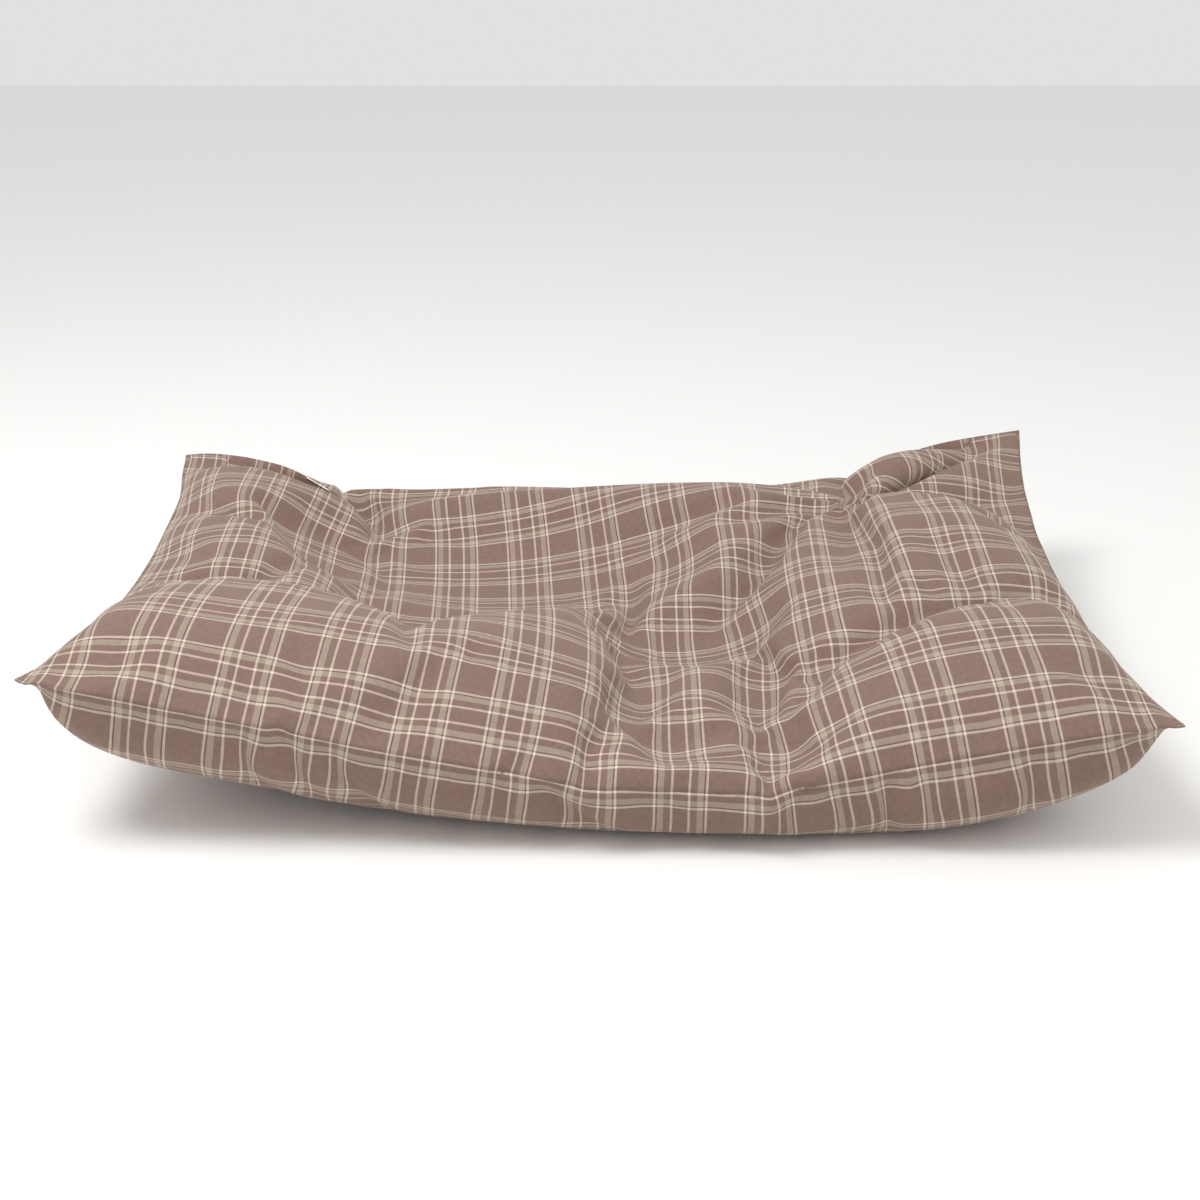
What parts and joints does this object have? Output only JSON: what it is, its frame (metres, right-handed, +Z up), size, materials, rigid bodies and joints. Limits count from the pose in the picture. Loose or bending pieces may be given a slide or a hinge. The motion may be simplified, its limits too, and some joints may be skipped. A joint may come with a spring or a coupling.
{
  "type": "pet cushion bed",
  "caption": "Rectangular knife-edge floor cushion for a pet, plaid zipped cover over a fibre-filled inner cushion, with a sleeping hollow.",
  "frame": {"origin": "on the floor, under the centre of the cushion's bounding box", "axes": "+X along the cushion's long side, +Y from the front to the zipped back edge, +Z up"},
  "size_m": [1.176, 0.88, 0.233],
  "materials": {
    "plaid_cloth": "yarn-dyed plaid twill, dusty mauve brown with cream and stone stripes",
    "zipper_tape": "woven polyester tape, brown",
    "nylon_coil": "moulded nylon, satin brown",
    "zipper_metal": "die-cast zinc, antique brass lacquer",
    "sewing_thread": "spun polyester thread",
    "satin_label": "blank white woven satin ribbon",
    "liner_cloth": "plain non-woven lining, off-white",
    "polyester_fibre": "lofted polyester fibre"
  },
  "bodies": {
    "cushion": {"cover_top_panel": "plaid_cloth", "cover_bottom_panel": "plaid_cloth", "seam_allowance": "plaid_cloth", "zipper_welt_upper": "plaid_cloth", "zipper_welt_lower": "plaid_cloth", "zipper_tape_upper": "zipper_tape", "zipper_tape_lower": "zipper_tape", "zipper_coil_upper": "nylon_coil", "zipper_coil_lower": "nylon_coil", "zipper_top_stops": "zipper_metal", "zipper_bottom_stop": "zipper_metal", "welt_stitching_upper": "sewing_thread", "welt_stitching_lower": "sewing_thread", "zipper_bar_tacks": "sewing_thread", "care_label": "satin_label", "liner_top_panel": "liner_cloth", "liner_bottom_panel": "liner_cloth", "fibre_fill": "polyester_fibre"},
    "slider": {"zipper_slider": "zipper_metal"},
    "pull_tab": {"zipper_pull_tab": "zipper_metal"}
  },
  "joints": [
    {"name": "zipper_slide", "type": "slide", "parent": "cushion", "child": "slider", "axis": [-1, 0, 0], "range_m": [0, 0.582], "deforming": ["zipper_coil_upper", "zipper_coil_lower"]},
    {"name": "pull_tab_swing", "type": "hinge", "parent": "slider", "child": "pull_tab", "pos_m": [0.2955, 0.3921, 0.104], "axis": [0, 0, -1], "range_deg": [0, 172]}
  ]
}
